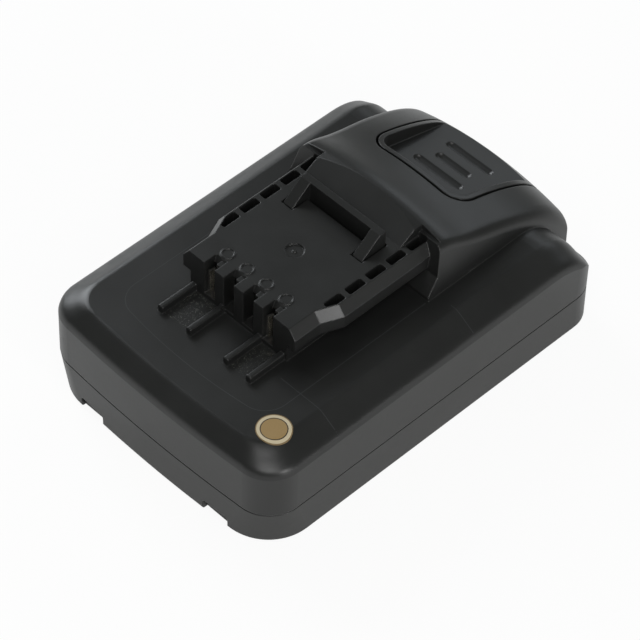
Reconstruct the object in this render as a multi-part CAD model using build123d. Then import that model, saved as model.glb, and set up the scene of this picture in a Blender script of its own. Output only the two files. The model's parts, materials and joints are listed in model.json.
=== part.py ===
from build123d import *
import math
import os

# Slide-on battery pack for cordless tools, in millimetres.
# X runs across the pack, -Y is the end with the terminals, which enters the tool first,
# and +Z is up. The origin is the middle of the base.

# Case, outside
body_width = 75.0
body_length = 111.4
front_bulge = 1.7
rear_bulge = 1.0
plan_corner = 9.0
parting_height = 11.3
wall_top_height = 23.5
deck_height = 29.0
band_side = 7.0
band_front = 4.6
band_corner_loss = 2.5
roll_length = 18.2
roll_radius = 14.0
roll_turn = 60.0
roll_steps = 5
case_wall = 2.2
tray_inset = 0.2
tray_front_corner = 13.0
tray_rear_corner = 8.0
tray_edge = 0.9
reveal_depth = 0.25
reveal_height = 0.3
overrun = 1.0

# How the band between wall and deck rises: shares of its width and of its height
band_shares = [
    (0, 0), (0.03, 0.14), (0.09, 0.3), (0.2, 0.44), (0.4, 0.6), (0.6, 0.76), (0.75, 0.88), (0.88, 0.965), (1, 1)
]

# Latch housing at the rear
housing_height = 44.5
housing_front = 14.1
housing_rear_height = 23.9
ridge_inset_front = 14.9
ridge_inset_rear = 12.3
crown_front = 3.1
crown_rear = 4.0
ridge_round_front = 3.2
ridge_round_rear = 5.0
foot_inset = 9.2
foot_narrowing = 3.4
housing_inner_margin = 0.3
# Shares of the housing's length, and of its fall towards the rear
housing_length_shares = [0, 0.127, 0.361, 0.596, 0.737, 0.831, 0.939, 1]
housing_fall_shares = [0, 0.078, 0.233, 0.386, 0.515, 0.626, 0.82, 1]

# Foot of the housing beside the rails
foot_front = 7.7
foot_step = 0.9
foot_ramp_top = 33.7
foot_ramp_end = 11.3
foot_inner = 15.0
ramp_front = 7.2

# Platform with the rails
plate_height = 40.3
plate_thickness = 2.0
platform_front = -28.4
web_half = 15.8
platform_wall = 2.0
rail_top_half_front = 16.3
rail_top_half = 18.6
rail_bevel_width = 1.95
rail_bevel_drop = 2.7
rail_underside = 34.1
lead_in_start = -20.6
lead_in_end = -15.1
rail_rear = 13.5

# Pockets in the rails
pocket_count = 5
pocket_inner = 16.05
pocket_edge_wall = 0.3
pocket_first = -17.7
pocket_rear_end = 13.4
pocket_rib = 1.45
pocket_depth = 4.8
pocket_corner = 0.5

# Terminal slots
slot_count = 4
slot_pitch = 6.35
slot_width = 3.45
slot_floor = 30.2
slot_depth_top = 3.1
slot_slope = 1.2
finger_depth = 5.0
tab_width = 1.5
tab_depth = 1.1
tab_height = 0.9
tab_drop = 0.6

# Marks on the plate: rings behind the slots and a gate dimple
ring_radius = 1.75
ring_width = 0.4
ring_rise = 0.2
ring_setback = 5.8
dimple_place = -10.9
dimple_radius = 2.2
dimple_depth = 0.4
nub_radius = 0.5
nub_rise = 0.25

# Guide ribs on the deck in front of the slots
rib_places = [-14.5, -5.1, 7.05, 14.35]
rib_front = -39.0
rib_width = 1.5
rib_height = 2.0
rib_round = 0.4

# Scoops in the tray's front edge
scoop_inset = 12.9
scoop_width = 7.8
scoop_depth = 1.3
scoop_height = 3.4
scoop_round = 0.9

# Latch: button, link and tooth in one moulding
latch_travel = 4.5
button_half = 14.4
button_length = 28.3
button_gap = 0.7
button_corner = 5.2
button_rim = 1.25
button_drop_front = 9.2
button_rear_rise = 3.5
button_skin = 1.8
button_depth = 7.0
button_wall = 1.8
lip_bottom = 22.7
lip_gap = 0.2
rear_skirt_inset = 2.8
rear_skirt_wall = 1.6
rear_skirt_bottom = 17.0
skirt_half = 16.4
skirt_wing_top = 20.8
skirt_root = 25.5
link_half = 8.6
link_thickness = 2.2
stop_gap = 0.3
tooth_half = 12.8
cheek_width = 3.0
cheek_front = -2.2
ridge_front = 3.5
ridge_rear = 5.3
ridge_height = 44.7
ramp_sink = 0.3
tooth_gap = 0.35
tongue_gap = 1.1

# Grooves across the button: half lengths, as shares of the button's half width, and places along it
groove_half_shares = [0.55, 0.393, 0.52]
groove_place_shares = [0.314, 0.5, 0.7]
groove_width = 3.0
groove_depth = 0.8

# Latch springs
spring_offset = 8.0
spring_shift = 0.6
spring_radius = 2.7
spring_wire = 0.55
spring_turns = 4.5
spring_seat_radius = 3.9
spring_seat_drop = 2.75
spring_post_radius = 1.9
spring_post_height = 2.4
spring_touch = 0.04

# Cells
cell_count = 5
cell_radius = 9.0
cell_length = 65.0
sleeve_thickness = 0.15
cell_pitch = 18.9
cell_rise = 0.35
crimp_place = 3.6
crimp_width = 1.1
crimp_depth = 0.55
can_round = 0.7
cap_radius = 3.6
cap_rise = 0.7
cap_flange = 6.2
ring_inner = 4.2
ring_outer = 8.3
ring_thickness = 0.25
sleeve_lip_inner = 7.6

# Cell holder
holder_cell_showing = 0.2
holder_split = 0.2
holder_wall = 0.6
holder_bore_gap = 0.15
holder_bottom = 4.8
holder_lip_inner = 8.2
holder_window_start = 5.0
holder_window_end = 14.5
holder_window_rear = 20.0
standoff_radius = 2.3
standoff_height = 0.8

# Connecting strips
strip_thickness = 0.25
strip_height = 8.0
tab_strip_width = 5.0
tab_overlap = 2.5
tab_end_place = 31.3
paper_thickness = 0.2
paper_gap = 0.1

# Circuit board
board_half = 26.0
board_front = -34.0
board_rear = 34.0
board_thickness = 1.6
board_corner = 2.0
board_screw_offset = 17.5
board_screw_radius = 0.95
board_screw_head = 1.8
board_screw_head_height = 1.1
board_screw_length = 6.0
board_screw_slot = 0.6
screw_play = 0.03

# Terminal block and contacts
block_half = 13.4
block_front_gap = 0.3
block_length = 11.6
block_top_gap = 0.3
channel_width = 4.6
channel_floor = 29.6
leaf_thickness = 0.7
leaf_gap = 1.0
leaf_flare = 0.35
leaf_flare_length = 1.6
leaf_top = 37.2
power_reach = 4.4
signal_reach = 1.6
contact_length = 9.4
contact_base = 1.0
leaf_lift = 0.2
contact_leg = 2.2

# Components on the board
chip_size = 7.0
chip_height = 1.1
pins_per_side = 7
transistor_width = 6.5
transistor_length = 6.1
transistor_height = 1.4
transistor_pitch = 8.2
transistor_count = 3
transistor_place = 13.5
transistor_first = -6.0
chip_place = -8.0
shunt_length = 6.3
shunt_width = 3.2
shunt_height = 0.7
shunt_place_x = 15.5
shunt_place_y = -21.0
small_length = 2.0
small_width = 1.25
small_height = 0.8
small_pitch = 3.2
small_rows = 2
small_columns = 6
small_place_x = -17.5
small_place_y = -20.0

# Thermistor on the middle cell
bead_radius = 0.7
bead_length = 3.4
lead_radius = 0.2
lead_gap = 1.1

# Case screws
case_screw_inset = 13.5
case_screw_setback = 4.7
case_boss_radius = 2.4
case_screw_radius = 1.1
case_screw_head = 2.0
case_screw_head_height = 1.5
case_screw_sink = 2.2
case_screw_length = 11.0
cross_length = 2.4
cross_width = 0.6
boss_joint_gap = 0.05
boss_tip = 2.0

# Locating lip of the tray
lip_height = 1.0
lip_thickness = 0.9
lip_root = 1.2
lip_clearance = 0.15

# Ribs under the cells
floor_rib_width = 1.6
floor_rib_height = 2.4
floor_rib_margin = 4.0

# Round label on the deck
label_radius = 4.2
label_thickness = 0.15
label_inset = 9.3
label_setback = 11.5

# Worked out from the values above
half_width = body_width / 2
half_length = body_length / 2
roll_start = half_length - roll_length
pocket_outer = rail_top_half - pocket_edge_wall
ridge_half_front = half_width - ridge_inset_front
ridge_half_rear = half_width - ridge_inset_rear
foot_half = half_width - foot_inset
scoop_outer = half_width - scoop_inset
scoop_inner = scoop_outer - scoop_width
button_front = half_length - button_length
button_floor_front = housing_height - button_drop_front
button_floor_rear = housing_rear_height + button_rear_rise
rear_skirt_outer = half_length - rear_skirt_inset
holder_end = cell_length / 2 - holder_cell_showing
case_screw_offset = half_width - case_screw_inset
label_x = half_width - label_inset
label_y = -half_length + label_setback
plate_underside = plate_height - plate_thickness
cell_axis_height = case_wall + cell_rise + cell_radius + sleeve_thickness
first_cell = -(cell_count - 1) / 2 * cell_pitch
bore_radius = cell_radius + sleeve_thickness + holder_bore_gap
holder_top = cell_axis_height + bore_radius + holder_wall
holder_half_length = -first_cell + bore_radius + holder_wall
board_bottom = holder_top + standoff_height
board_top = board_bottom + board_thickness
slot_places = [(i - (slot_count - 1) / 2) * slot_pitch for i in range(slot_count)]
cell_places = [first_cell + i * cell_pitch for i in range(cell_count)]
valley_places = [y + cell_pitch / 2 for y in cell_places[:-1]]
spring_place = cell_places[-1] + spring_shift
screw_y = half_length - case_screw_setback
screw_spots = [(x, y) for x in (-case_screw_offset, case_screw_offset) for y in (-screw_y, screw_y)]
board_spots = [
    (x, y) for x in (-board_screw_offset, board_screw_offset) for y in (valley_places[0], valley_places[3])
]
button_opening_bottom = lip_bottom - latch_travel - lip_gap
block_front = platform_front + finger_depth + block_front_gap


def block(x0, x1, y0, y1, z0, z1):
    """A box between two corners."""
    return Pos((x0 + x1) / 2, (y0 + y1) / 2, (z0 + z1) / 2) * Box(abs(x1 - x0), abs(y1 - y0), abs(z1 - z0))


def post(x, y, z0, z1, radius):
    """An upright cylinder."""
    return Pos(x, y, (z0 + z1) / 2) * Cylinder(radius, z1 - z0)


def closed_face(points):
    """A flat face with straight sides, on the XY plane."""
    return make_face(Polyline(*points, close=True).edges())


def upright_prism(points, z0, z1):
    """A plan outline raised from one height to another."""
    return Pos(0, 0, z0) * extrude(closed_face(points), z1 - z0)


def side_prism(points, x0, x1):
    """A profile given as (y, z) points, extended across X."""
    return Pos(x0, 0, 0) * extrude(Plane.YZ * closed_face(points), x1 - x0, dir=(1, 0, 0))


def plan_outline(side, front, corner, rear_corner=None):
    """The body's outline seen from above, set in by the given amounts."""
    half = half_width - side
    tip = -half_length + front
    rear = half_length - side
    edges = [
        ThreePointArc((-half, tip + front_bulge), (0, tip), (half, tip + front_bulge)),
        Line((half, tip + front_bulge), (half, rear - rear_bulge)),
        ThreePointArc((half, rear - rear_bulge), (0, rear), (-half, rear - rear_bulge)),
        Line((-half, rear - rear_bulge), (-half, tip + front_bulge)),
    ]
    face = make_face(edges)
    if rear_corner is None:
        return fillet(face.vertices(), corner)
    front_corners, rear_corners = face.vertices().group_by(Axis.Y)
    face = fillet(rear_corners, rear_corner)
    return fillet(face.vertices().group_by(Axis.Y)[0], corner)


def case_form(skin):
    """The upper case's outer form without housing and platform, shrunk by skin."""
    bottom = parting_height - (overrun if skin else 0)
    wall = extrude(plan_outline(skin, skin, plan_corner - skin), wall_top_height - skin - bottom)
    layers = []
    for width_share, rise_share in band_shares:
        side = skin + band_side * width_share
        front = skin + band_front * width_share
        height = wall_top_height - skin + (deck_height - wall_top_height) * rise_share
        corner = plan_corner - skin - band_corner_loss * width_share
        layers.append(Pos(0, 0, height) * plan_outline(side, front, corner))
    band = loft(layers)
    front_part = Pos(0, 0, bottom) * wall + band
    front_part -= block(-body_width, body_width, roll_start, body_length, 0, housing_height)
    cut_face = front_part.faces().sort_by(Axis.Y)[-1]
    radius = roll_radius - skin
    turns = [roll_turn * step / roll_steps for step in range(roll_steps + 1)]
    places = [(radius * math.sin(math.radians(t)), radius * (1 - math.cos(math.radians(t)))) for t in turns]
    run, drop = places[-1]
    slope = math.tan(math.radians(roll_turn))
    reach = half_length - skin - roll_start - run + overrun
    places.append((run + reach / 2, drop + reach / 2 * slope))
    places.append((run + reach, drop + reach * slope))
    depth = deck_height - skin - bottom
    sections = []
    for along, fall in places:
        share = 1 - fall / depth
        sections.append(scale(cut_face, by=(1, 1, share)).moved(Location((0, along, bottom * (1 - share)))))
    limit = Pos(0, 0, bottom) * extrude(plan_outline(skin, skin, plan_corner - skin), deck_height - bottom)
    return front_part + (loft(sections) & limit)


def housing_section(skin, length_share, fall_share):
    """The housing's cross-section at a share of its length."""
    bottom = parting_height - (overrun if skin else 0)
    y = housing_front + skin + (half_length + overrun - housing_front - 2 * skin) * length_share
    crown = crown_front + (crown_rear - crown_front) * length_share
    top = housing_height - skin - (housing_height - housing_rear_height) * fall_share
    half = ridge_half_front + (ridge_half_rear - ridge_half_front) * length_share - skin
    foot = foot_half - foot_narrowing * length_share**3 - skin
    corner = ridge_round_front + (ridge_round_rear - ridge_round_front) * length_share
    edges = [
        ThreePointArc((-half, top - crown), (0, top), (half, top - crown)),
        Line((half, top - crown), (foot, bottom)),
        Line((foot, bottom), (-foot, bottom)),
        Line((-foot, bottom), (-half, top - crown)),
    ]
    face = fillet(make_face(edges).vertices().group_by(Axis.Y)[-1], corner)
    return Plane.XZ.offset(-y) * face


def housing_form(skin):
    """The latch housing's outer form, shrunk by skin."""
    bottom = parting_height - (overrun if skin else 0)
    shares = zip(housing_length_shares, housing_fall_shares)
    sections = [housing_section(skin, length_share, fall_share) for length_share, fall_share in shares]
    margin = skin + housing_inner_margin if skin else 0
    limit = Pos(0, 0, bottom) * extrude(plan_outline(margin, margin, plan_corner - margin), housing_height)
    return loft(sections) & limit


def housing_foot():
    """The steps in front of the housing on each side of the platform, and the ramp up from the plate."""
    ridge = housing_height - crown_front
    low = deck_height - case_wall
    step = [
        (foot_front, low),
        (foot_front, deck_height + foot_step),
        (foot_ramp_end, foot_ramp_top),
        (housing_front - foot_step, ridge),
        (housing_front, ridge),
        (housing_front, low),
    ]
    ramp = [
        (ramp_front, plate_underside),
        (ramp_front, plate_height),
        (housing_front, housing_height),
        (housing_front, plate_underside),
    ]
    foot = side_prism(step, -foot_half, foot_half)
    foot -= block(-foot_inner, foot_inner, 0, housing_front + overrun, 0, housing_height)
    foot += side_prism(ramp, -web_half, web_half)
    section = housing_section(0, 0, 0)
    return foot & extrude(section, housing_front - ramp_front + overrun, dir=(0, -1, 0))


def rail_plan(half_front, half_rear):
    """Plan outline of the plate with its rails, narrow at the front and wide behind the lead-in."""
    right = [
        (half_front, platform_front),
        (half_front, lead_in_start),
        (half_rear, lead_in_end),
        (half_rear, rail_rear),
    ]
    left = [(-x, y) for x, y in reversed(right)]
    return right + left


def platform():
    """The raised plate with its web and its bevelled rails."""
    bevel_height = plate_height - rail_bevel_drop
    lower_plan = rail_plan(rail_top_half_front + rail_bevel_width, rail_top_half + rail_bevel_width)
    upper_plan = rail_plan(rail_top_half_front, rail_top_half)
    rails = upright_prism(lower_plan, rail_underside, bevel_height)
    bevel = loft(
        [Pos(0, 0, bevel_height) * closed_face(lower_plan), Pos(0, 0, plate_height) * closed_face(upper_plan)],
        ruled=True,
    )
    web = block(-web_half, web_half, platform_front, housing_front, deck_height - case_wall, plate_height)
    return rails + bevel + web


def rail_pockets():
    """The rows of pockets sunk into both rails."""
    span = pocket_rear_end - pocket_first
    length = (span - (pocket_count - 1) * pocket_rib) / pocket_count
    low = plate_height - pocket_depth
    high = plate_height + overrun
    room = upright_prism(rail_plan(rail_top_half_front - pocket_edge_wall, pocket_outer), low, high)
    pockets = Part()
    for i in range(pocket_count):
        start = pocket_first + i * (length + pocket_rib)
        pocket = block(pocket_inner, pocket_outer, start, start + length, low, high)
        pocket = fillet(pocket.edges().filter_by(Axis.Z), pocket_corner)
        pockets += pocket
        pockets += mirror(pocket, Plane.YZ)
    return pockets & room


def terminal_slots():
    """The four slots, open to the front and to the top, with a sloped rear end at the plate."""
    rear = platform_front + slot_depth_top
    profile = [
        (platform_front - overrun, slot_floor),
        (platform_front + finger_depth + overrun, slot_floor),
        (platform_front + finger_depth + overrun, plate_underside),
        (rear, plate_underside),
        (rear + slot_slope, plate_height + overrun),
        (platform_front - overrun, plate_height + overrun),
    ]
    slots = Part()
    for x in slot_places:
        slots += side_prism(profile, x - slot_width / 2, x + slot_width / 2)
    return slots


def slot_tabs():
    """Small ledges at the rear of each slot."""
    rear = platform_front + slot_depth_top
    top = plate_height - tab_drop
    tabs = Part()
    for x in slot_places:
        edge = x + slot_width / 2
        tabs += block(edge - tab_width, edge, rear - tab_depth, rear + slot_slope, top - tab_height, top)
    return tabs


def plate_marks():
    """Raised rings behind the slots."""
    rings = Part()
    for x in slot_places:
        y = platform_front + ring_setback
        outer = post(x, y, plate_height, plate_height + ring_rise, ring_radius)
        rings += outer - post(x, y, plate_height, plate_height + ring_rise, ring_radius - ring_width)
    return rings


def deck_ribs():
    """Guide ribs on the deck in front of the slots, with rounded tops."""
    ribs = Part()
    for x in rib_places:
        half = rib_width / 2
        rib = block(x - half, x + half, rib_front, platform_front, deck_height, deck_height + rib_height)
        top_edges = rib.edges().group_by(Axis.Z)[-1].sort_by(Axis.Y)[:-1]
        ribs += fillet(top_edges, rib_round)
    return ribs


def button_plan(grow, corner):
    """Plan of the latch button, grown at the front and sides and running out past the rear."""
    half = button_half + grow
    front = button_front - grow
    rear = half_length + case_wall
    face = closed_face([(-half, front), (half, front), (half, rear), (-half, rear)])
    face = fillet(face.vertices().group_by(Axis.Y)[0], corner)
    return face


def tooth_opening():
    """The opening in the plate that the latch tooth comes up through."""
    low = plate_underside - overrun
    high = housing_height + overrun
    outer = tooth_half + tooth_gap
    inner = tooth_half - cheek_width - tooth_gap
    opening = block(-outer, outer, ridge_front - tongue_gap, ridge_rear + tooth_gap, low, high)
    for side in (-1, 1):
        opening += block(side * inner, side * outer, cheek_front - tooth_gap, ridge_rear, low, high)
    return opening


def upper_case():
    """Deck, platform and housing in one moulding, hollow underneath."""
    shell = case_form(0) + housing_form(0) + housing_foot() + platform() + deck_ribs() + plate_marks()
    tip = case_wall + case_screw_sink + case_screw_length
    bosses = Part()
    for x, y in screw_spots:
        bosses += post(x, y, parting_height + boss_joint_gap, tip + boss_tip, case_boss_radius)
    shell -= case_form(case_wall) - bosses
    shell -= housing_form(case_wall) - bosses
    inner = web_half - platform_wall
    shell -= block(
        -inner, inner, platform_front + finger_depth, housing_front + 2 * case_wall,
        parting_height, plate_underside,
    )
    shell -= terminal_slots()
    shell += slot_tabs()
    shell -= rail_pockets()
    shell -= tooth_opening()
    opening = Pos(0, 0, button_opening_bottom) * extrude(
        button_plan(button_gap, button_corner + button_gap), housing_height
    )
    shell -= opening
    dimple_floor = plate_height - dimple_depth
    shell -= post(0, dimple_place, dimple_floor, plate_height + overrun, dimple_radius)
    shell += post(0, dimple_place, dimple_floor, dimple_floor + nub_rise, nub_radius)
    for x, y in screw_spots:
        shell -= post(x, y, 0, tip + overrun, case_screw_radius + screw_play)
    return shell


def lower_case():
    """The tray under the cells, with its lip, bosses and ribs."""
    outline = plan_outline(0, 0, plan_corner)
    base = plan_outline(tray_inset, tray_inset, tray_front_corner, tray_rear_corner)
    solid = loft([base, Pos(0, 0, parting_height) * outline])
    solid = fillet(solid.faces().sort_by(Axis.Z)[0].edges(), tray_edge)
    outside = extrude(plan_outline(-overrun, -overrun, plan_corner + overrun), reveal_height + overrun)
    inset = plan_outline(reveal_depth, reveal_depth, plan_corner - reveal_depth)
    outside -= extrude(inset, reveal_height + overrun)
    solid -= Pos(0, 0, parting_height - reveal_height) * outside
    low_wall = case_wall + tray_inset
    floor = plan_outline(low_wall, low_wall, tray_front_corner - case_wall, tray_rear_corner - case_wall)
    mouth = plan_outline(case_wall, case_wall, plan_corner - case_wall)
    tray = solid - loft([Pos(0, 0, case_wall) * floor, Pos(0, 0, parting_height) * mouth])
    gap = case_wall + lip_clearance
    lip = plan_outline(gap, gap, plan_corner - gap)
    lip_in = plan_outline(gap + lip_thickness, gap + lip_thickness, plan_corner - gap - lip_thickness)
    lip_band = Pos(0, 0, parting_height - lip_root) * extrude(lip - lip_in, lip_height + lip_root)
    foot_band = Pos(0, 0, parting_height - lip_root) * extrude(outline - lip_in, lip_root)
    tray += lip_band + (foot_band & solid)
    for x, y in screw_spots:
        tray += post(x, y, case_wall / 2, parting_height - boss_joint_gap, case_boss_radius)
    for x, y in screw_spots:
        tray -= post(x, y, 0, case_wall + case_screw_sink, case_screw_head + screw_play)
        tray -= post(x, y, 0, parting_height, case_screw_radius + screw_play)
        tray -= post(x, y, parting_height - boss_joint_gap, housing_height, case_boss_radius + lip_clearance)
    reach = half_width - case_wall - floor_rib_margin
    for y in valley_places:
        half = floor_rib_width / 2
        tray += block(-reach, reach, y - half, y + half, 0, case_wall + floor_rib_height)
    for side in (-1, 1):
        rear = -half_length + front_bulge / 2 + scoop_depth
        scoop = block(side * scoop_inner, side * scoop_outer, -half_length - overrun, rear, -overrun, scoop_height)
        scoop = fillet(scoop.edges().filter_by(Axis.Y), scoop_round)
        tray -= scoop
    return tray


def floor_height(y):
    """Height of the button's flat floor at a place along the pack."""
    share = (y - button_front) / (half_length - button_front)
    return button_floor_front + (button_floor_rear - button_floor_front) * share


def seat_height():
    """Height of the faces that the springs press on."""
    return floor_height(spring_place) - spring_seat_drop


def button_floor(depth):
    """All that lies under the button's floor, sunk by a depth."""
    rear = half_length + case_wall
    front = button_front - overrun
    profile = [(front, 0), (front, floor_height(front) - depth), (rear, floor_height(rear) - depth), (rear, 0)]
    return side_prism(profile, -body_width, body_width)


def latch():
    """Button, link and tooth in one moulding."""
    form = housing_form(0)
    tall = housing_height + overrun
    button = form & extrude(button_plan(0, button_corner), tall)
    button -= form.moved(Location((0, 0, -button_depth)))
    recess = extrude(button_plan(-button_rim, button_corner - button_rim), tall)
    button -= recess - button_floor(0)
    inner_half = button_half - button_wall
    cavity = block(
        -inner_half, inner_half, button_front + button_wall, rear_skirt_outer - rear_skirt_wall, 0, housing_height
    )
    button -= cavity & button_floor(button_skin)
    button -= block(-body_width, body_width, rear_skirt_outer, body_length, 0, lip_bottom)
    skirt_front = rear_skirt_outer - rear_skirt_wall
    skirt = block(-skirt_half, skirt_half, skirt_front, rear_skirt_outer, rear_skirt_bottom, skirt_wing_top)
    skirt += block(-button_half, button_half, skirt_front, rear_skirt_outer, rear_skirt_bottom, skirt_root)
    button += skirt
    button -= button_grooves()
    link_top = plate_underside - stop_gap
    link_bottom = link_top - link_thickness
    link = block(-link_half, link_half, cheek_front, button_front + button_wall, link_bottom, link_top)
    tooth = block(-tooth_half, tooth_half, ridge_front, ridge_rear, link_bottom, ridge_height)
    ramp = [
        (cheek_front, link_bottom),
        (ridge_rear, link_bottom),
        (ridge_rear, ridge_height),
        (ridge_front, ridge_height),
        (cheek_front, plate_height - ramp_sink),
    ]
    for side in (-1, 1):
        outer = side * tooth_half
        inner = side * (tooth_half - cheek_width)
        tooth += side_prism(ramp, min(outer, inner), max(outer, inner))
    seats = Part()
    for x in (-spring_offset, spring_offset):
        seats += post(x, spring_place, seat_height(), housing_height, spring_seat_radius)
    seats = seats & button_floor(button_skin / 2)
    front_wall_height = floor_height(button_front)
    web_reach = button_half - button_corner
    web = block(
        -web_reach, web_reach, button_front, button_front + button_wall,
        min(link_bottom, front_wall_height), max(link_top, front_wall_height),
    )
    return button + link + web + tooth + seats


def button_grooves():
    """Three rounded grooves across the button's floor."""
    length = half_length - button_front
    radius = groove_width / 2
    grooves = Part()
    for half_share, place_share in zip(groove_half_shares, groove_place_shares):
        y = button_front + length * place_share
        z = floor_height(y) - groove_depth + radius
        reach = button_half * half_share - radius
        grooves += Pos(0, y, z) * Rot(0, 90, 0) * Cylinder(radius, 2 * reach)
        grooves += Pos(-reach, y, z) * Sphere(radius)
        grooves += Pos(reach, y, z) * Sphere(radius)
    return grooves


def latch_spring(side):
    """A compression spring between the cell holder and the latch."""
    bottom = holder_top + spring_touch + spring_wire / 2
    top = seat_height() - spring_touch - spring_wire / 2
    pitch = (top - bottom) / spring_turns
    path = Helix(pitch, top - bottom, spring_radius)
    start = Plane(origin=path @ 0, z_dir=path % 0)
    spring = sweep(start * Circle(spring_wire / 2), path=path, is_frenet=True)
    return Pos(side * spring_offset, spring_place, bottom) * spring


def along_x(shape, y, flip):
    """Lays a shape made about the Z axis along X in a cell's place."""
    turn = Rot(0, 90, 0) if not flip else Rot(0, -90, 0)
    return Pos(0, y, cell_axis_height) * turn * shape


def turned(points):
    """A solid of revolution about Z from (radius, height) points."""
    face = Plane.XZ * closed_face(points)
    return revolve(face, Axis.Z)


def cell_can():
    """Steel can with a crimped neck, its positive end upwards."""
    half = cell_length / 2
    rim = half - cap_rise
    neck = rim - crimp_place
    points = [
        (0, -half),
        (cell_radius - can_round, -half),
        (cell_radius, -half + can_round),
        (cell_radius, neck),
        (cell_radius - crimp_depth, neck + crimp_width / 2),
        (cell_radius, neck + crimp_width),
        (cell_radius, rim - can_round / 2),
        (cell_radius - can_round / 2, rim),
        (cap_flange, rim),
        (cap_flange, rim - can_round),
        (0, rim - can_round),
    ]
    return turned(points)


def cell_cap():
    """Positive cap standing in the can's neck."""
    half = cell_length / 2
    rim = half - cap_rise
    points = [
        (0, rim - can_round),
        (cap_flange, rim - can_round),
        (cap_flange, rim - can_round / 2),
        (cap_radius, rim - can_round / 2),
        (cap_radius, half),
        (0, half),
    ]
    return turned(points)


def cell_ring():
    """Insulating ring round the positive cap."""
    rim = cell_length / 2 - cap_rise
    ring = post(0, 0, rim, rim + ring_thickness, ring_outer)
    return ring - post(0, 0, rim, rim + ring_thickness, ring_inner)


def cell_sleeve():
    """Shrink sleeve with turned-in ends."""
    half = cell_length / 2
    rim = half - cap_rise + ring_thickness
    outer = cell_radius + sleeve_thickness
    low = -half - sleeve_thickness
    sleeve = post(0, 0, low, rim + sleeve_thickness, outer)
    sleeve -= post(0, 0, -half, rim, cell_radius)
    sleeve -= post(0, 0, low - overrun, rim + overrun, sleeve_lip_inner)
    return sleeve


def cell_holder(side):
    """One half of the frame that grips the cells, with standoffs for the board and a spring post."""
    x0 = side * holder_split
    x1 = side * holder_end
    frame = block(x0, x1, -holder_half_length, holder_half_length, holder_bottom, holder_top)
    frame = fillet(frame.edges().filter_by(Axis.X).group_by(Axis.Z)[-1], bore_radius)
    for y in cell_places:
        bore = Pos(0, y, cell_axis_height) * Rot(0, 90, 0) * Cylinder(bore_radius, cell_length)
        access = Pos(0, y, cell_axis_height) * Rot(0, 90, 0) * Cylinder(holder_lip_inner, 3 * cell_length)
        frame -= bore
        frame -= access
    window = block(
        side * holder_window_start, side * holder_window_end,
        valley_places[0] + standoff_radius, holder_window_rear,
        cell_axis_height + cell_radius / 2, holder_top + overrun,
    )
    frame -= window
    for x, y in board_spots:
        if x * side > 0:
            frame += post(x, y, holder_top - holder_wall, board_bottom, standoff_radius)
            frame -= post(x, y, board_top - board_screw_length, board_top, board_screw_radius + screw_play)
    low = holder_top - holder_wall
    frame += post(side * spring_offset, spring_place, low, holder_top + spring_post_height, spring_post_radius)
    return frame


def strip(side, low_cell, high_cell, tab_y):
    """A connecting strip over one or two cell ends, with a tab bent in under the board."""
    face = side * (cell_length / 2 + sleeve_thickness)
    outer = face + side * strip_thickness
    reach = side * (board_half - tab_overlap)
    half = strip_height / 2
    half_tab = tab_strip_width / 2
    low = cell_axis_height - half
    high = cell_axis_height + half
    plate = block(face, outer, cell_places[low_cell] - half, cell_places[high_cell] + half, low, high)
    arm_low = min(tab_y, cell_places[low_cell]) - half_tab
    arm_high = max(tab_y, cell_places[high_cell]) + half_tab
    plate += block(face, outer, arm_low, arm_high, high - tab_strip_width, high)
    plate += block(face, outer, tab_y - half_tab, tab_y + half_tab, low + half, board_bottom)
    return plate + block(
        reach, outer, tab_y - half_tab, tab_y + half_tab, board_bottom - strip_thickness, board_bottom
    )


def insulation_paper(side):
    """Thin insulating sheet between the strips and the case wall."""
    near = side * (cell_length / 2 + sleeve_thickness + strip_thickness + paper_gap)
    far = near + side * paper_thickness
    sheet = block(near, far, -holder_half_length, holder_half_length, holder_bottom, holder_top)
    return fillet(sheet.edges().filter_by(Axis.X).group_by(Axis.Z)[-1], bore_radius)


def circuit_board():
    """Board on the holder's standoffs."""
    board = block(-board_half, board_half, board_front, board_rear, board_bottom, board_top)
    board = fillet(board.edges().filter_by(Axis.Z), board_corner)
    for x, y in board_spots:
        board -= post(x, y, board_bottom, board_top, board_screw_radius + screw_play)
    return board


def board_screws():
    """Screws that hold the board to the holder."""
    screws = Part()
    for x, y in board_spots:
        head_top = board_top + board_screw_head_height
        screw = post(x, y, board_top, head_top, board_screw_head)
        screw += post(x, y, board_top - board_screw_length, board_top, board_screw_radius)
        slot = block(
            x - board_screw_head, x + board_screw_head, y - board_screw_slot / 2, y + board_screw_slot / 2,
            head_top - board_screw_head_height / 2, head_top + overrun,
        )
        screws += screw - slot
    return screws


def case_screws():
    """Screws that hold the tray to the upper case."""
    screws = Part()
    for x, y in screw_spots:
        seat = case_wall + case_screw_sink
        screw = post(x, y, seat - case_screw_head_height, seat, case_screw_head)
        screw += post(x, y, seat, seat + case_screw_length, case_screw_radius)
        bar = cross_length / 2
        arm = cross_width / 2
        low = seat - case_screw_head_height
        screw -= block(x - bar, x + bar, y - arm, y + arm, low, low + case_screw_head_height / 2)
        screw -= block(x - arm, x + arm, y - bar, y + bar, low, low + case_screw_head_height / 2)
        screws += screw
    return screws


def terminal_block():
    """Moulded block on the board that carries the contacts behind the slots."""
    rear = block_front + block_length
    body = block(-block_half, block_half, block_front, rear, board_top, plate_underside - block_top_gap)
    for x in slot_places:
        body -= block(
            x - channel_width / 2, x + channel_width / 2, block_front - overrun, rear - contact_base,
            channel_floor, plate_height,
        )
        leg = contact_leg / 2
        body -= block(
            x - leg, x + leg, rear - contact_base - 2 * contact_leg, rear - contact_base - contact_leg,
            board_top - overrun, channel_floor + overrun,
        )
    return body


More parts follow.
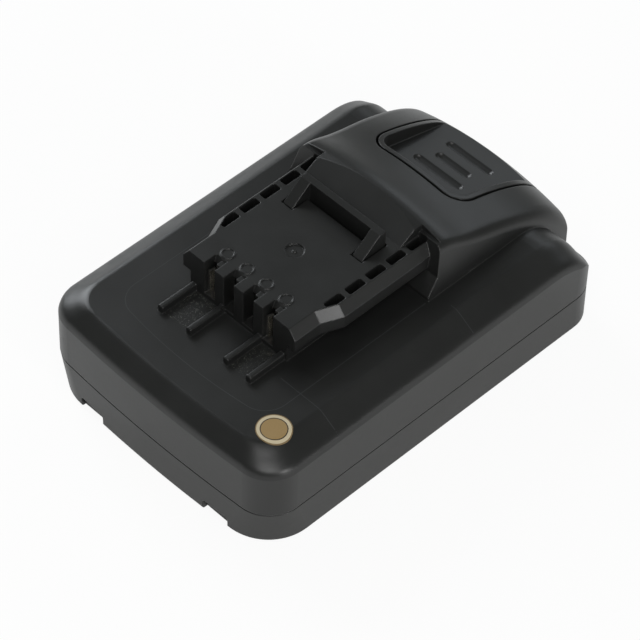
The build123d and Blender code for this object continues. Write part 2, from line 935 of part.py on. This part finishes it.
def contact(x, reach):
    """Forked contact with two sprung leaves, a base and a leg to the board."""
    front = block_front - reach
    rear = block_front + contact_length
    z0 = channel_floor + contact_base
    half = leaf_gap / 2 + leaf_thickness
    fork = block(x - half, x + half, block_front, rear, channel_floor, z0)
    for side in (-1, 1):
        near = leaf_gap / 2
        far = near + leaf_thickness
        plan = [
            (side * near, rear),
            (side * far, rear),
            (side * far, front + leaf_flare_length),
            (side * (far + leaf_flare), front),
            (side * (near + leaf_flare), front),
            (side * near, front + leaf_flare_length),
        ]
        leaf = upright_prism(plan, slot_floor + leaf_lift, leaf_top)
        fork += Pos(x, 0, 0) * leaf
    leg = contact_leg / 2 - screw_play
    leg_rear = block_front + block_length - contact_base - contact_leg
    leg_front = leg_rear - contact_leg + screw_play
    fork += block(x - leg, x + leg, leg_front, leg_rear - screw_play, board_top, channel_floor)
    return fork


def controller_chip():
    """Square control chip with its pins."""
    x = chip_place
    y = board_rear - chip_size
    half = chip_size / 2
    lift = chip_height / 4
    chip = block(x - half, x + half, y - half, y + half, board_top + lift, board_top + chip_height)
    gap = chip_size / (pins_per_side + 1)
    pin = gap / 2
    for i in range(pins_per_side):
        place = (i - (pins_per_side - 1) / 2) * gap
        for side in (-1, 1):
            near = side * half
            far = near + side * gap
            top = board_top + 2 * lift
            chip += block(x + near, x + far, y + place - pin / 2, y + place + pin / 2, board_top, top)
            chip += block(x + place - pin / 2, x + place + pin / 2, y + near, y + far, board_top, top)
    return chip


def power_transistors():
    """Row of flat power transistors."""
    row = Part()
    for i in range(transistor_count):
        x = transistor_place
        y = transistor_first + transistor_pitch * i
        half = transistor_width / 2
        row += block(x - half, x + half, y, y + transistor_length, board_top, board_top + transistor_height)
    return row


def shunt_resistor():
    """Flat shunt in the negative line."""
    x = shunt_place_x
    y = shunt_place_y
    return block(x, x + shunt_length, y, y + shunt_width, board_top, board_top + shunt_height)


def small_components():
    """Rows of small resistors and capacitors."""
    group = Part()
    for row in range(small_rows):
        for column in range(small_columns):
            x = small_place_x - row * 2 * small_length
            y = small_place_y + column * small_pitch
            group += block(x, x + small_length, y, y + small_width, board_top, board_top + small_height)
    return group


def thermistor():
    """Bead on the middle cell with two leads up to the board."""
    x = holder_window_start + 3 * bead_radius
    y = cell_places[2]
    surface = cell_axis_height + cell_radius + sleeve_thickness
    bead = Pos(x, y, surface + bead_radius) * Rot(0, 90, 0) * Cylinder(bead_radius, bead_length)
    for side in (-1, 1):
        bead += post(x + side * lead_gap / 2, y, surface + bead_radius, board_bottom, lead_radius)
    return bead


def round_label():
    """Thin round label that follows the deck."""
    disc = post(label_x, label_y, wall_top_height, deck_height + overrun, label_radius)
    form = case_form(0)
    return (disc & form.moved(Location((0, 0, label_thickness)))) - form


nodes = {
    "lower_case": lower_case(),
    "upper_case": upper_case(),
    "release_latch": latch(),
    "latch_spring_left": latch_spring(-1),
    "latch_spring_right": latch_spring(1),
    "cell_holder_left": cell_holder(-1),
    "cell_holder_right": cell_holder(1),
    "circuit_board": circuit_board(),
    "board_screws": board_screws(),
    "case_screws": case_screws(),
    "terminal_block": terminal_block(),
    "controller_chip": controller_chip(),
    "power_transistors": power_transistors(),
    "shunt_resistor": shunt_resistor(),
    "small_components": small_components(),
    "thermistor": thermistor(),
    "insulation_left": insulation_paper(-1),
    "insulation_right": insulation_paper(1),
    "round_label": round_label(),
}
for number, y in enumerate(cell_places, start=1):
    flipped = number % 2 == 1
    nodes[f"cell_{number}_can"] = along_x(cell_can(), y, flipped)
    nodes[f"cell_{number}_cap"] = along_x(cell_cap(), y, flipped)
    nodes[f"cell_{number}_ring"] = along_x(cell_ring(), y, flipped)
    nodes[f"cell_{number}_sleeve"] = along_x(cell_sleeve(), y, flipped)
contact_names = ["negative", "signal_1", "signal_2", "positive"]
contact_reaches = [power_reach, signal_reach, signal_reach, power_reach]
for name, reach, x in zip(contact_names, contact_reaches, slot_places):
    nodes[f"contact_{name}"] = contact(x, reach)
nodes["strip_negative"] = strip(1, 0, 0, -tab_end_place)
nodes["strip_1_2"] = strip(-1, 0, 1, valley_places[0])
nodes["strip_2_3"] = strip(1, 1, 2, valley_places[1])
nodes["strip_3_4"] = strip(-1, 2, 3, valley_places[2])
nodes["strip_4_5"] = strip(1, 3, 4, valley_places[3])
nodes["strip_positive"] = strip(-1, 4, 4, tab_end_place)

os.makedirs("parts", exist_ok=True)
for name, shape in nodes.items():
    shape.label = name
    export_step(shape, f"parts/{name}.step")
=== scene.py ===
import json
import math
import bpy
from mathutils import Matrix, Vector


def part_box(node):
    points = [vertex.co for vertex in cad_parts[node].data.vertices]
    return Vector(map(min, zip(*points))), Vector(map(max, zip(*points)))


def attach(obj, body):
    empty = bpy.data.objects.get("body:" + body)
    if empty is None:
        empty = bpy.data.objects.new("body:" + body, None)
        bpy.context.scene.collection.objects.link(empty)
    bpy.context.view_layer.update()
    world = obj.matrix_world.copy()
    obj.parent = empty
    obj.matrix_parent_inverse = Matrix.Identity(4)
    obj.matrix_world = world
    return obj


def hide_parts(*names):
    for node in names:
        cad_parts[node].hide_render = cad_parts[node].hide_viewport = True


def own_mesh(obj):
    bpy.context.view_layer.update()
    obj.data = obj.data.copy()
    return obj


# Power tool battery pack on a white table, in metres
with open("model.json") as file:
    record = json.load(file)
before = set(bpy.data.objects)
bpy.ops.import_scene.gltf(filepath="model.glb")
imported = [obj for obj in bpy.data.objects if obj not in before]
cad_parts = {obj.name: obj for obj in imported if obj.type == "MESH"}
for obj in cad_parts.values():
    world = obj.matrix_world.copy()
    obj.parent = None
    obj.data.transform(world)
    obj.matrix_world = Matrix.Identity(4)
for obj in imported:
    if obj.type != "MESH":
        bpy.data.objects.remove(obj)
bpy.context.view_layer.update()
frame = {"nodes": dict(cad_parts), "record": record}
nodes = frame["nodes"]
scene = bpy.context.scene
MM = 0.001


# Shader values
class Value:
    """A shader socket that takes part in Python sums."""

    def __init__(self, tree, socket=None):
        self.tree = tree
        self.socket = socket

    def node(self, kind, inputs, output=0, **settings):
        """Adds a node with its settings, then the values or links of its sockets, and returns an output."""
        made = self.tree.nodes.new(kind)
        for name, setting in settings.items():
            setattr(made, name, setting)
        for key, item in inputs.items():
            if isinstance(item, Value):
                item.into(made.inputs[key])
            else:
                made.inputs[key].default_value = item
        return Value(self.tree, made.outputs[output])

    def into(self, socket):
        """Links this value to a socket."""
        self.tree.links.new(self.socket, socket)

    def maths(self, operation, *terms):
        return self.node("ShaderNodeMath", dict(enumerate(terms)), operation=operation)

    def __add__(self, other):
        return self.maths("ADD", self, other)

    def __radd__(self, other):
        return self.maths("ADD", other, self)

    def __sub__(self, other):
        return self.maths("SUBTRACT", self, other)

    def __rsub__(self, other):
        return self.maths("SUBTRACT", other, self)

    def __mul__(self, other):
        return self.maths("MULTIPLY", self, other)

    def __rmul__(self, other):
        return self.maths("MULTIPLY", other, self)

    def above(self, limit):
        """One where this value is over a limit, and nothing elsewhere."""
        return self.maths("GREATER_THAN", self, limit)

    def root(self):
        return self.maths("SQRT", self)

    def across_and_along(self):
        """The x and y parts of a place."""
        parts = self.tree.nodes.new("ShaderNodeSeparateXYZ")
        self.into(parts.inputs[0])
        return Value(self.tree, parts.outputs["X"]), Value(self.tree, parts.outputs["Y"])


def start_material(name):
    """A material, its principled shader and a starting value: the place on the object."""
    material = bpy.data.materials.new(name)
    material.use_nodes = True
    tree = material.node_tree
    place = Value(tree).node("ShaderNodeTexCoord", {}, "Object")
    return material, tree.nodes["Principled BSDF"], place


def noise(place, scale, detail=3.0, roughness=0.55):
    return place.node(
        "ShaderNodeTexNoise", {"Vector": place, "Scale": scale, "Detail": detail, "Roughness": roughness}
    )


# Sockets of the Mix node when it mixes colours
MIX_SHARE, MIX_LOW, MIX_HIGH = 0, 6, 7
MIX_RESULT = 2


def blend(share, low, high):
    """The colour between two colours, each given as numbers or as a value."""
    low, high = (c if isinstance(c, Value) else (*c, 1) for c in (low, high))
    return share.node(
        "ShaderNodeMix", {MIX_SHARE: share, MIX_LOW: low, MIX_HIGH: high}, MIX_RESULT, data_type="RGBA"
    )


def inside(place, box):
    """One inside a box seen from above, given in millimetres as left, right, front and rear."""
    x, y = place.across_and_along()
    left, right, front, rear = (v * MM for v in box)
    return x.above(left) * (1 - x.above(right)) * y.above(front) * (1 - y.above(rear))


# Finish of the plastic, metal and paper pieces
PATCH_SCALE = 60.0
BROAD_GLOSS = 0.4
FINE_GLOSS = 0.15
STREAK_LIMIT = 0.66
SPECK_SCALE = 2600.0
SPECK_LIMIT = 0.6
SPECK_COVER = 0.7
SPECK_HEIGHT = 1.5
GRAIN_STRENGTH = 0.35
BEVEL_SAMPLES = 6
RUBBED_TONE = (0.11, 0.115, 0.1)


def worn(name, color, rough, metallic=0.0, grain=900.0, grain_depth=0.02, spread=0.25, scuff=0.0,
         soft_edge=0.0, rubbed=()):
    """A material with fine grain, uneven gloss, faint patches of colour and boxes of rubbed specks."""
    material, shader, place = start_material(name)
    shader.inputs["Metallic"].default_value = metallic
    broad = noise(place, PATCH_SCALE)
    fine = noise(place, grain, 2.0)
    low = tuple(c * (1 - spread) for c in color)
    high = tuple(c * (1 + spread) for c in color)
    tone = blend(broad, low, high)
    even_gloss = rough * (1 - (BROAD_GLOSS + FINE_GLOSS) / 2)
    gloss = broad * (BROAD_GLOSS * rough) + fine * (FINE_GLOSS * rough) + even_gloss
    if scuff:
        streaks = noise(place, grain / 3, 6.0, 0.7).above(STREAK_LIMIT)
        gloss = gloss + streaks * scuff
    height = fine
    for box in rubbed:
        specks = noise(place, SPECK_SCALE, 4.0, 0.7).above(SPECK_LIMIT) * inside(place, box)
        tone = blend(specks * SPECK_COVER, tone, RUBBED_TONE)
        height = height + specks * SPECK_HEIGHT
    relief = {"Height": height, "Strength": GRAIN_STRENGTH, "Distance": grain_depth * MM}
    if soft_edge:
        relief["Normal"] = place.node("ShaderNodeBevel", {"Radius": soft_edge * MM}, samples=BEVEL_SAMPLES)
    tone.into(shader.inputs["Base Color"])
    gloss.into(shader.inputs["Roughness"])
    place.node("ShaderNodeBump", relief).into(shader.inputs["Normal"])
    return material


# Radii in millimetres at which the label's colours start, from the middle outwards
LABEL_RINGS = [
    (0, (0.33, 0.22, 0.09)),
    (2.95, (0.05, 0.035, 0.02)),
    (3.2, (0.55, 0.47, 0.32)),
    (3.95, (0.2, 0.14, 0.07)),
]
LABEL_CENTRE = (28.2, -44.2)


def label_material(name, centre, rings):
    """Rings of colour round a centre."""
    material, shader, place = start_material(name)
    x, y = place.across_and_along()
    x = x - centre[0] * MM
    y = y - centre[1] * MM
    radius = (x * x + y * y).root()
    middle_color = rings[0][1]
    color = blend(noise(place, 2500.0), tuple(c * 0.85 for c in middle_color), middle_color)
    for start, ring_color in rings[1:]:
        color = blend(radius.above(start * MM), color, ring_color)
    color.into(shader.inputs["Base Color"])
    gloss = noise(place, 700.0) * 0.2 + 0.3
    gloss.into(shader.inputs["Roughness"])
    return material


BLACK = (0.0115, 0.0118, 0.0115)
# Rubbed places on the deck between the guide ribs
RIB_GAPS = [(-13.7, -5.9, -38.5, -28.6), (7.9, 13.6, -38.5, -28.6)]
case_finish = dict(grain=1400.0, grain_depth=0.012, scuff=0.05, soft_edge=0.4)
case = worn("case_plastic", BLACK, 0.36, **case_finish)
top_case = worn("top_case_plastic", BLACK, 0.36, rubbed=RIB_GAPS, **case_finish)
button = worn("latch_plastic", BLACK, 0.33, grain=1400.0, grain_depth=0.01, soft_edge=0.4)
mould_line = worn("mould_line", (0.035, 0.037, 0.038), 0.3)
dark = worn("inner_plastic", (0.02, 0.02, 0.021), 0.5)
board = worn("board_mask", (0.02, 0.13, 0.05), 0.3)
chip = worn("chip_plastic", (0.02, 0.02, 0.02), 0.45)
ceramic = worn("ceramic", (0.4, 0.3, 0.18), 0.4)
paper = worn("insulating_sheet", (0.7, 0.66, 0.55), 0.6)
sleeve = worn("cell_sleeve", (0.03, 0.16, 0.4), 0.3)
steel = worn("nickel_steel", (0.62, 0.61, 0.59), 0.28, metallic=1.0, spread=0.1)
copper = worn("tinned_copper", (0.75, 0.73, 0.68), 0.22, metallic=1.0, spread=0.1)
label = label_material("round_label", LABEL_CENTRE, LABEL_RINGS)

# The finish of each piece by the first words of its name, or for the cells by the last word
FINISHES = {
    "upper_case": top_case, "lower_case": case, "release_latch": button, "round_label": label,
    "cell_holder": dark, "terminal_block": dark, "circuit_board": board, "board_screws": steel,
    "case_screws": steel, "controller_chip": chip, "power_transistors": chip, "shunt": steel,
    "small_components": ceramic, "thermistor": dark, "insulation": paper, "contact": copper,
    "strip": steel, "latch_spring": steel,
}
CELL_FINISHES = {"can": steel, "cap": steel, "ring": paper, "sleeve": sleeve}
for name, piece in nodes.items():
    finish = next((m for start, m in FINISHES.items() if name.startswith(start)), None)
    if finish is None:
        finish = CELL_FINISHES[name.split("_")[-1]]
    piece.data.materials.clear()
    piece.data.materials.append(finish)

# Springs copied onto the pack in place of their parts; the share they would shorten to as the latch goes
# down is worked out but not applied
press = frame["record"]["behaviour"]["joints"][0]
travel = press["range_m"][1]
for deforming in press["deforming_nodes"]:
    node = deforming["node"]
    foot = deforming["fixed_end_z_m"]
    low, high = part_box(node)
    spring = bpy.data.objects.new(node + "_wire", nodes[node].data.copy())
    scene.collection.objects.link(spring)
    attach(spring, "pack")
    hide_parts(node)
    room = high[2] - foot
    (room - travel) / room
    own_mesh(spring)

# Fine lines that the mould leaves on the deck, in millimetres
DECK = 29.0
LINE_LIFT = 0.012
LINE_WIDTH = 0.16
ABOVE_ALL = 60


def fine_line(name, path):
    """A flat strip along points on the case, a hair above it."""
    points = [Vector(p) for p in path]
    lift = Vector((0, 0, LINE_LIFT))
    corners = []
    for i, point in enumerate(points):
        ahead = points[min(i + 1, len(points) - 1)] - points[max(i - 1, 0)]
        across = Vector((-ahead.y, ahead.x, 0)).normalized() * LINE_WIDTH / 2
        corners += [point + across + lift, point - across + lift]
    faces = [(2 * i, 2 * i + 1, 2 * i + 3, 2 * i + 2) for i in range(len(points) - 1)]
    mesh = bpy.data.meshes.new(name)
    mesh.from_pydata([c * MM for c in corners], [], faces)
    mesh.materials.append(mould_line)
    made = bpy.data.objects.new(name, mesh)
    scene.collection.objects.link(made)
    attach(made, "pack")


def insert_outline():
    """Points of the line round the mould insert that forms the platform."""
    half = 24.8
    rear = 7.0
    front = -45.2
    bulge = 1.2
    corner = 6.5
    corner_steps = 9
    front_steps = 7
    straight = half - corner
    right = [(half, rear), (half, front + bulge + corner)]
    for step in range(1, corner_steps):
        angle = math.radians(90 * step / corner_steps)
        x = straight + corner * math.cos(angle)
        right.append((x, front + bulge + corner - corner * math.sin(angle)))
    for step in range(front_steps):
        x = straight * (1 - step / front_steps)
        right.append((x, front + bulge * (x / straight) ** 2))
    middle = [(0, front)]
    left = [(-x, y) for x, y in reversed(right)]
    return [(x, y, DECK) for x, y in right + middle + left]


def dropped(x, y):
    """The place on the upper case straight below a point."""
    start = Vector((x, y, ABOVE_ALL)) * MM
    down = Vector((0, 0, -1))
    spot = nodes["upper_case"].ray_cast(start, down)[1]
    return spot / MM


def witness_path(y, start, end, count=36):
    """Points across the deck and over the band to the side wall."""
    return [dropped(start + (end - start) * i / count, y) for i in range(count + 1)]


fine_line("insert_line", insert_outline())
fine_line("witness_front", witness_path(-32.8, 18.5, 37.3))
fine_line("witness_rear", witness_path(10.7, 29.2, 36.6))

# Camera, solved from the photograph's edges; focal length and shifts are in pixels of the picture
AZIMUTH, ELEVATION, ROLL = (math.radians(v) for v in (43.99, 47.67, 2.18))
TARGET = Vector((0, -0.53 * MM, 20 * MM))
DISTANCE = 802.4 * MM
PICTURE = 640
FOCAL = 3455.0
SHIFT_X = -5.08
SHIFT_Y = -32.5
back = Vector((
    math.sin(AZIMUTH) * math.cos(ELEVATION), -math.cos(AZIMUTH) * math.cos(ELEVATION), math.sin(ELEVATION)
))
level = Vector((math.cos(AZIMUTH), math.sin(AZIMUTH), 0))
right = level * math.cos(ROLL) + back.cross(level) * math.sin(ROLL)
upward = back.cross(right)
camera_data = bpy.data.cameras.new("camera")
camera_data.sensor_width = 36
camera_data.lens = camera_data.sensor_width * FOCAL / PICTURE
camera_data.shift_x = SHIFT_X / PICTURE
camera_data.shift_y = SHIFT_Y / PICTURE
camera_data.clip_end = 20
camera = bpy.data.objects.new("camera", camera_data)
scene.collection.objects.link(camera)
turn = Matrix((right, upward, back)).transposed().to_4x4()
camera.matrix_world = Matrix.Translation(TARGET + back * DISTANCE) @ turn
scene.camera = camera

# White surroundings
WHITE = (1, 1, 1, 1)
ROOM_COLOR = (0.97, 1.0, 0.95, 1)
ROOM_STRENGTH = 0.19
world = bpy.data.worlds.new("studio")
scene.world = world
world.use_nodes = True
studio = Value(world.node_tree)
to_camera = studio.node("ShaderNodeLightPath", {}, "Is Camera Ray")
room_light = studio.node("ShaderNodeBackground", {"Color": ROOM_COLOR, "Strength": ROOM_STRENGTH})
backdrop = studio.node("ShaderNodeBackground", {"Color": WHITE, "Strength": 1.0})
around = studio.node("ShaderNodeMixShader", {0: to_camera, 1: room_light, 2: backdrop})
around.into(world.node_tree.nodes["World Output"].inputs["Surface"])

# White table: part of its white is glow, and the rest holds a faint shadow
TABLE_WHITE = (0.95, 0.95, 0.94, 1)
TABLE_ROUGHNESS = 0.8
TABLE_GLOW = 0.92
# The share of glow where the table is mirrored in the pack's walls
TABLE_SHINE = 0.3
TABLE_SIZE = 3
TABLE_DROP = 0.2 * MM
bpy.ops.mesh.primitive_plane_add(size=TABLE_SIZE, location=(0, 0, -TABLE_DROP))
table = bpy.context.object
table.name = "table"
paint, surface, start = start_material("table_white")
surface.inputs["Base Color"].default_value = TABLE_WHITE
surface.inputs["Roughness"].default_value = TABLE_ROUGHNESS
glow = start.node("ShaderNodeEmission", {"Color": WHITE, "Strength": 1.0})
to_camera = start.node("ShaderNodeLightPath", {}, "Is Camera Ray")
in_gloss = start.node("ShaderNodeLightPath", {}, "Is Glossy Ray")
glow_share = to_camera * TABLE_GLOW + in_gloss * TABLE_SHINE
painted = Value(start.tree, surface.outputs[0])
mixed = start.node("ShaderNodeMixShader", {0: glow_share, 1: painted, 2: glow})
mixed.into(start.tree.nodes["Material Output"].inputs["Surface"])
table.data.materials.append(paint)

LIGHT_TARGET = Vector((0, 0, 0.02))


def soft_box(name, place, size, power, color=(1, 1, 1)):
    """An area light that faces the pack."""
    data = bpy.data.lights.new(name, "AREA")
    data.shape = "RECTANGLE"
    data.size, data.size_y = size
    data.energy = power
    data.color = color
    made = bpy.data.objects.new(name, data)
    scene.collection.objects.link(made)
    made.location = place
    aim = LIGHT_TARGET - Vector(place)
    made.rotation_euler = aim.to_track_quat("-Z", "Y").to_euler()


soft_box("key", (0.5, -0.5, 0.8), (0.7, 0.7), 5)
soft_box("left", (-0.8, 0.1, 0.45), (0.5, 0.6), 5, (0.92, 0.96, 1))
soft_box("rear", (-0.15, 0.95, 0.55), (0.9, 0.35), 1.3, (0.88, 0.94, 1))
soft_box("right", (0.95, -0.11, 0.38), (0.13, 0.13), 2.2)
soft_box("low_right", (0.9, 0.1, 0.06), (0.6, 0.08), 0.6)

scene.view_settings.view_transform = "Standard"
